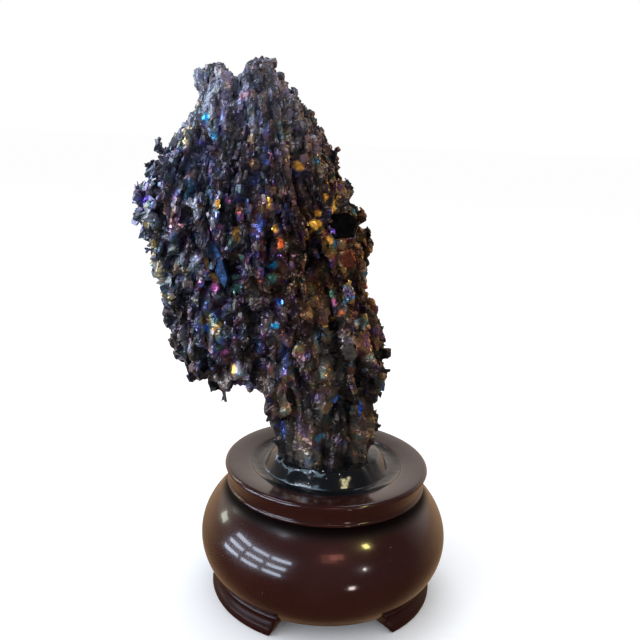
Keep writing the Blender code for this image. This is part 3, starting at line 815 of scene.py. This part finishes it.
def flat_face_carbide():
    """Broad crystal faces: flat and glassy under one even film, dulled by growth steps and dust."""
    made, add, place = new_material("flat_face_silicon_carbide")
    film = add(ATTRIBUTE, (), {"attribute_name": "film_colour"}, "Color")
    # growth steps about 1 mm apart
    marks = add(NOISE, {"Vector": place, "Scale": 900.0, "Detail": 3.0})
    share = add(RANGE, [marks, 0.35, 0.7, 0.1, 0.75])
    tone = add(MIX, {0: share, 6: film, 7: "#15151A"}, RGBA, 2)
    rough = add(RANGE, [marks, 0.3, 0.7, 0.24, 0.42])
    bump = add(BUMP, {"Strength": 0.6, "Distance": 0.0004, "Height": marks})
    add(SURFACE, [add(PRINCIPLED, {
        "Base Color": tone, "Metallic": 0.9, "Roughness": rough, "Normal": bump})])
    return made


def broad_blades(ground):
    """The broad blades, each half sunk in the mass."""
    outline = ((-0.5, -0.22), (-0.12, -0.5), (0.4, -0.34), (0.5, 0.24), (0.16, 0.5), (-0.42, 0.33))
    # how far each ring of corners lies behind the face, and how much of the blade's width it takes
    rings = ((-2.4, 0.85), (-0.5, 1.04), (-0.12, 1.0), (0.0, 0.82))
    window, thickness, proud = Vector((-0.45, -0.80, 0.42)), 1.2 * MM, 1.3 * MM
    points, faces, tones = [], [], []
    for film, right, down, width, long, lean, turn in BLADES:
        sight = sight_to(right, down)
        hit, normal = ground.ray_cast(CAMERA_PLACE, sight)[:2]
        face = (normal * 0.6 - sight).normalized().lerp(window, turn).normalized()
        side = leaning_growth(hit, lean).cross(face).normalized()
        up = face.cross(side)
        middle = hit - sight * proud
        faces += shell_faces(len(points), len(outline), len(rings))
        for back, share in rings:
            points += [middle + side * (x * width * share * MM) + up * (y * (long - width * (1 - share)) * MM)
                       + face * (back * thickness) for x, y in outline]
        tones += [linear(FILMS[film])] * (len(outline) * len(rings))
    piece = mesh_object("broad_blades", points, faces, flat_face_carbide())
    store_layer(piece.data, "film_colour", np.array(tones))
    return piece


def iridescent_carbide(name, gain, tint, rough_low, rough_high):
    """Silicon carbide grown in a furnace: black, glassy hexagonal crystals under an oxide film
    whose thickness gives interference colours, gold through copper, magenta, violet, blue and
    teal. A high-index surface mirrors like a dark metal; each facet has its own film."""
    made, add, place = new_material(name)
    centred = add(MAPPING, {0: place, "Location": -AXIS})
    film, lustre, facet, crest, clean_film_and_glint_share = (
        add(ATTRIBUTE, (), {"attribute_name": layer}, "Fac")
        for layer in ("film", "lustre", "facet", "crest", "clean_film"))
    x, _, z = add(SPLIT, [centred]).node.outputs
    # how much each zone of the cluster counts, along x or z: from and to, in metres, and its value there
    zones = {}
    for zone, *span in (
            ("right", x, -0.046, 0.004, 0.0, 1.0), ("low", z, 0.115, 0.060, 0.0, 0.85),
            ("under heads", z, 0.112, 0.130, 1.0, 0.0), ("shaded", x, -0.044, -0.024, 0.55, 1.0),
            ("height", z, 0.040, 0.140, 0.0, 1.0), ("below shoulder", z, 0.088, 0.110, 1.10, 0.53),
            ("heads", z, 0.114, 0.128, 0.0, 0.35), ("left", x, -0.044, -0.024, 0.65, 0.0),
            ("upper", z, 0.068, 0.085, 0.0, 1.0), ("right shoulder", x, -0.024, -0.006, 0.0, 0.75),
            ("risen", z, 0.066, 0.090, 0.0, 1.0), ("dusty", z, 0.095, 0.132, 0.05, 0.20)):
        soft = zone in ("right shoulder", "risen", "dusty")
        zones[zone] = add(RANGE, span, SMOOTH if soft else None)
    # the film's thickness drifts over 14 mm and again over 4 mm; each crystal and facet adds a little
    drift, patch = (add(NOISE, {"Vector": centred, "Scale": scale, "Detail": 1.0}) for scale in (70.0, 250.0))
    order = add(RANGE, [x, -0.034, 0.0, -0.82, -1.30])
    for source, share in ((drift, 0.6), (patch, 1.8), (film, 0.30), (facet, 0.06)):
        order = add(MATH, [source, share, order], TIMES_PLUS)
    hues = add(RAMP, [add(MATH, [order], FRACTION)])
    fill_ramp(hues, ((0.0, "#B08C34"), (0.12, "#95562A"), (0.26, "#84383A"), (0.38, "#83327A"),
                     (0.50, "#4A38B0"), (0.62, "#2858C0"), (0.74, "#2A8CAE"), (0.87, "#6C9070"),
                     (1.0, "#B08C34")))
    # plain crystals are blue-grey at the top and left, brown-grey to the right and below
    warm = add(MATH, [zones["right"], zones["low"]], LARGER)
    warm = add(MATH, [warm, zones["under heads"]], TIMES)
    # the right shoulder is golden all over
    golden = zones["right shoulder"]
    for zone in ("risen", "under heads"):
        golden = add(MATH, [golden, zones[zone]], TIMES)
    # clear colour comes in patches about 3 mm wide and differs from crystal to crystal
    vivid = add(NOISE, {"Vector": centred, "W": 3.0, "Scale": 320.0, "Detail": 1.0},
                {"noise_dimensions": "4D"})
    vivid = add(MATH, [lustre, 0.35, vivid], TIMES_PLUS)
    strong = add(RANGE, [vivid, 0.50, 0.86, 0.07, tint])
    # it is clearest on the upper body, and fades on the heads, towards the foot and on the left
    clear = add(RAMP, [zones["height"]])
    fill_ramp(clear, ((0.0, 0.45), (0.35, 0.8), (0.5, 1.0), (0.78, 1.0), (0.92, 0.4)))
    for share in (clear, zones["shaded"]):
        strong = add(MATH, [strong, share], TIMES)
    # the film's hues lie over the plain tone, and on a few crystals a clean, even film over those, which is
    # also brightened below as a painted glint
    tone = add(MIX, {0: warm, 6: "#82858F", 7: "#7E746A"}, RGBA, 2)
    film_colour = add(ATTRIBUTE, (), {"attribute_name": "film_colour"}, "Color")
    for share, over in ((golden, "#9A6A3A"), (strong, hues), (clean_film_and_glint_share, film_colour)):
        tone = add(MIX, {0: share, 6: tone, 7: over}, RGBA, 2)
    # clean, bright strands and nearly black ones, 3.5 mm wide and 12 mm long, lean as the crystals do
    strand = add(ATTRIBUTE, (), {"attribute_name": "strand"}, "Vector")
    leaning = add(MAPPING, {0: strand, "Scale": (0.30, 0.26, 0.085)})
    clean = add(NOISE, {"Vector": leaning, "Scale": 1.0, "Detail": 2.0, "Roughness": 0.4})
    for source, share in ((film, 0.16), (facet, 0.14)):
        clean = add(MATH, [source, share, clean], TIMES_PLUS)
    level = add(RANGE, [clean, 0.51, 0.81, 0.20 * gain, 1.3 * gain], SMOOTH)
    # painted shade: the tone darkens to a third in the grooves between strands
    depth = add(RANGE, [crest, 0.15, 0.80, 0.33, 1.08])
    # whole groups of strands, 10 mm wide, are sootier than others
    groups = add(MAPPING, {0: strand, "Scale": (0.11, 0.11, 0.05), "Location": (3.1, 1.7, 0.4)})
    soot = add(NOISE, {"Vector": groups, "Scale": 1.0, "Detail": 1.0})
    soot = add(RANGE, [soot, 0.38, 0.62, 0.55, 1.3])
    # painted light: the upper left side is brightened up to 1.65 times as if lit from the left; the level
    # drops over the shoulder and rises again on the heads
    left = add(MATH, [zones["left"], zones["upper"], 1.0], TIMES_PLUS)
    shoulder = add(MATH, [zones["below shoulder"], zones["heads"]], PLUS)
    for share in (depth, soot, left, shoulder):
        level = add(MATH, [level, share], TIMES)
    # painted glints: the clean-film spots are brightened by their strength
    level = add(MATH, [clean_film_and_glint_share, 1.1 * gain, level], TIMES_PLUS)
    tone = add(MIX, {0: 1.0, 6: tone, 7: level}, {**RGBA, "blend_type": "MULTIPLY"}, 2)
    # growth steps across the facets, about 1 mm apart
    steps_place = add(MAPPING, {0: centred, "Scale": (700, 700, 1100)})
    steps = add(NOISE, {"Vector": steps_place, "Scale": 1.0, "Detail": 1.0})
    bump = add(BUMP, {"Strength": 0.3, "Distance": 0.0005, "Height": steps})
    rough = add(RANGE, [facet, 0.0, 1.0, rough_low, rough_high])
    # painted haze: towards the top the tone goes pale blue-grey and the mirror dulls, standing in for a veil
    # of light over the top
    tone = add(MIX, {0: zones["dusty"], 6: tone, 7: "#6C7084"}, RGBA, 2)
    mirror = add(MATH, [zones["dusty"], -1.2, 0.80], TIMES_PLUS)
    add(SURFACE, [add(PRINCIPLED, {
        "Base Color": tone, "Metallic": mirror, "Roughness": rough, "Normal": bump})])
    return made


class CRYSTAL_OT_grow_cluster(bpy.types.Operator):
    """Grows the strands, blades, plates and bright chips of the crystal cluster"""

    bl_idname = "crystal_display.grow_cluster"
    bl_label = "Grow the crystals"

    def execute(self, context):
        sizes = context.scene.crystal_sizes
        core = strand_core(sizes)
        core.data.materials.clear()
        core.data.materials.append(iridescent_carbide("furnace_black_carbide", 0.67, 0.85, 0.25, 0.42))
        tree, forms = scatter_tree(), crystal_shapes()
        grains = iridescent_carbide("iridescent_silicon_carbide", 0.76, 0.85, 0.22, 0.4)
        # the bright chips' colour is raised 2.2 times over the grains': painted sparkle on real small
        # crystals
        bright = iridescent_carbide("bright_film_silicon_carbide", 2.2, 0.95, 0.16, 0.3)
        ground = ground_of(core)
        paint_clean_films_and_glints(core, ground)
        pieces = [core, broad_blades(ground)]
        keys = ("Spacing", "Width", "Length", "Thickness share", "Sink", "Bury", "Sway", "Flat turn", "Seed",
                "Where", "Material")
        for name, *values in (
                ("crystal_grains", sizes.grain_spacing, sizes.grain_width, sizes.grain_length,
                 0.8, 0.5, 0.65, 0.3, 0.9, sizes.seed, "cover", grains),
                ("crystal_plates", sizes.plate_spacing, sizes.plate_width, sizes.plate_length,
                 0.4, 0.65, 1.9, 0.10, 0.25, sizes.seed + 120, "cover", grains),
                ("crystal_chips", sizes.chip_spacing, sizes.chip_width, sizes.chip_width * 1.3,
                 0.5, 0.2, -0.1, 0.6, 0.8, sizes.seed + 60, "sparkle", bright)):
            pieces.append(grow(name, core, tree, {**dict(zip(keys, values)), "Forms": forms}))
        for form in list(forms.objects):
            bpy.data.objects.remove(form)
        bpy.data.collections.remove(forms)
        for piece in pieces:
            hand_over(piece, "silicon_carbide_crystal", "crystal_pieces")
        return {"FINISHED"}


# ---------------------------------------------------------------- floor, lamps and camera

# places on the stand's axis and in the cluster that lamps look at
BELLY, COLLAR, CLUSTER = (AXIS + Vector(place) for place in ((0, 0, 0.016), (0, 0, 0.037), (-0.01, 0, 0.08)))
# what each group of lamps lights, the place that they look at and their distance (m); then each lamp's turn
# from the front and its elevation (degrees), width and height (m), power (W) and tint
LAMPS = (
    ("stand_pieces", BELLY, 0.45, (
        ("warm_lamp", 49, 44, 0.036, 0.045, 0.15, "#EFE08C"),
        ("small_lamp_right", 36, 14, 0.02, 0.03, 0.05, "#F4EEEA"),
        ("small_lamp_low", 25, -14, 0.035, 0.045, 0.09, "#FFF0E8"),
        ("pink_shade", 7, 35, 0.10, 0.10, 0.035, "#FF9C8A"),
        ("pink_shade_right", 14, 37, 0.09, 0.06, 0.04, "#FFA090"),
        ("left_spot", -112, 14, 0.075, 0.06, 0.07, "#EEF4E4"),
        ("left_spot_high", -114, 31, 0.03, 0.07, 0.07, "#EEF4E4"))),
    ("crystal_pieces", CLUSTER, 0.5, (
        ("window_left", -58, 34, 0.3, 0.3, 1.7, "#E6E8F2"),
        ("left_wall", -98, 8, 0.2, 0.3, 1.3, "#F2F2DC"),
        ("lamp_glow_right", 62, 30, 0.2, 0.2, 0.42, "#FFDDA8"),
        ("warm_wall", 112, 12, 0.2, 0.3, 0.5, "#FFC684"),
        ("front_fill", -5, 5, 0.5, 0.3, 0.22, "#E4E6F4"))),
    ("resin_pieces", COLLAR, 0.5, (
        ("resin_sheen_low", -130, 24, 0.22, 0.12, 0.3, "#A8C6DC"),
        ("resin_sheen", -100, 46, 0.32, 0.22, 0.8, "#A8C6DC"),
        ("resin_sheen_high", -48, 67, 0.30, 0.22, 0.7, "#A8C6DC"),
        ("resin_glint", 45, 44, 0.09, 0.08, 0.2, "#F2E8B4"))),
)


def lamp(name, azimuth, elevation, width, height, power, tint, distance, target):
    """An area lamp that looks at target; azimuth 0 is in front, to the right is positive."""
    a, e = radians(azimuth), radians(elevation)
    place = target + Vector((sin(a) * cos(e), -cos(a) * cos(e), sin(e))) * distance
    data = bpy.data.lights.new(name, "AREA")
    data.shape, data.size, data.size_y = "RECTANGLE", width, height
    data.energy, data.color = power, linear(tint)[:3]
    made = add_object(name, data)
    made.location, made.rotation_euler = place, (target - place).to_track_quat("-Z", "Y").to_euler()
    return made


def room_world():
    """A pale backdrop for the camera; mirrored in the gloss, a plain room: a light wall behind
    the object, a dim room before it, a brown table below."""
    world = bpy.data.worlds.new("plain_room")
    world.use_nodes = True
    world.node_tree.nodes.clear()
    add = partial(add_node, world.node_tree)
    _, y, z = add(SPLIT, [add(PLACE, out="Generated")]).node.outputs
    behind, rise, above, below = (
        add(RANGE, [way, start, end, 0.0, 1.0], SMOOTH)
        for way, start, end in ((y, -0.1, 0.75), (z, 0.0, 0.22), (z, 0.25, 0.95), (z, -0.05, -0.5)))
    far_wall = add(MIX, {0: rise, 6: "#C4A280", 7: "#D8CCC4"}, RGBA, 2)
    table = add(MIX, {0: behind, 6: "#4C3424", 7: "#94765A"}, RGBA, 2)
    room = "#464240"
    for share, part in ((behind, far_wall), (above, "#3C3B40"), (below, table)):
        room = add(MIX, {0: share, 6: room, 7: part}, RGBA, 2)
    plain, lit = (add("ShaderNodeBackground", [tone, 1.0]) for tone in ("#FFFFFF", room))
    mirrored = add("ShaderNodeLightPath", out="Is Glossy Ray")
    add("ShaderNodeOutputWorld", [add("ShaderNodeMixShader", [mirrored, plain, lit])])
    return world


def paper_floor(sizes):
    """Matt white paper, with fibre clouds 20 mm wide too faint to see as more than a soft change of tone."""
    made, add, place = new_material("matt_paper_floor")
    cloud = add(NOISE, {"Vector": place, "Scale": 50.0})
    tone = add(MIX, {0: cloud, 6: sizes.floor, 7: "#FFFFFF"}, RGBA, 2)
    add(SURFACE, [add(PRINCIPLED, {
        "Base Color": tone, "Roughness": 1.0, "Specular IOR Level": 0.0})])
    return made


class CRYSTAL_OT_set_stage(bpy.types.Operator):
    """Sets the plain floor, the soft lamps and the camera"""

    bl_idname = "crystal_display.set_stage"
    bl_label = "Set the stage"

    def execute(self, context):
        scene = context.scene
        sizes = scene.stage_sizes
        scene.view_settings.view_transform = "Standard"
        far = 6.0
        corners = [(-far, -far, 0), (far, -far, 0), (far, far, 0), (-far, far, 0)]
        floor = mesh_object("floor", corners, [(0, 1, 2, 3)], paper_floor(sizes))
        floor.visible_glossy = False
        scene.world = room_world()
        # the louvred ceiling light: three rows of three panes
        for row in range(3):
            for column in range(3):
                lamp(f"louvre_{row}_{column}", -78 + 21 * column - 3 * row, 21 - 11.5 * row, 0.135, 0.036,
                     sizes.panel_power, "#DDE9FF", sizes.panel_distance, BELLY)
        lamp("ceiling", 180, 62, 0.4, 0.3, 1.0, "#DCE6FA", 0.6, CLUSTER)
        lamp("skylight", -75, 58, 0.26, 0.05, 0.32, "#E2EAFA", 0.5, BELLY)
        for group, target, distance, lamps in LAMPS:
            lit = bpy.data.collections.new(group)
            for name, *values in lamps:
                lamp(name, *values, distance, target).light_linking.receiver_collection = lit
        camera = bpy.data.cameras.new("camera")
        camera.sensor_width, camera.lens = SENSOR, LENS
        camera.clip_start, camera.clip_end = 0.01, 20.0
        scene.camera = add_object("camera", camera)
        scene.camera.location, scene.camera.rotation_euler = CAMERA_PLACE, CAMERA_TURN.to_euler()
        return {"FINISHED"}


class CRYSTAL_PT_panel(bpy.types.Panel):
    """Sizes, colours and the steps that make the crystal display"""

    bl_label = "Crystal on a stand"
    bl_idname = "CRYSTAL_PT_panel"
    bl_space_type = "VIEW_3D"
    bl_region_type = "UI"
    bl_category = "Crystal"

    def draw(self, context):
        for group, (_, step) in GROUPS.items():
            box = self.layout.box()
            values = getattr(context.scene, group)
            for name in values.__annotations__:
                box.prop(values, name)
            box.operator(step.bl_idname)


# each group of sizes, its class and the step that uses it
GROUPS = {
    "stand_sizes": (StandSizes, CRYSTAL_OT_turn_stand),
    "resin_sizes": (ResinSizes, CRYSTAL_OT_pour_resin),
    "crystal_sizes": (CrystalSizes, CRYSTAL_OT_grow_cluster),
    "stage_sizes": (StageSizes, CRYSTAL_OT_set_stage),
}
CLASSES = [made for pair in GROUPS.values() for made in pair] + [CRYSTAL_PT_panel]


def register():
    for made in CLASSES:
        bpy.utils.register_class(made)
    for name, (group, _) in GROUPS.items():
        setattr(bpy.types.Scene, name, PointerProperty(type=group))


def unregister():
    for name in GROUPS:
        delattr(bpy.types.Scene, name)
    for made in reversed(CLASSES):
        bpy.utils.unregister_class(made)


def main():
    register()
    bpy.ops.crystal_display.set_stage()
    bpy.ops.crystal_display.turn_stand()
    bpy.ops.crystal_display.pour_resin()
    bpy.ops.crystal_display.grow_cluster()


if __name__ == "__main__":
    main()
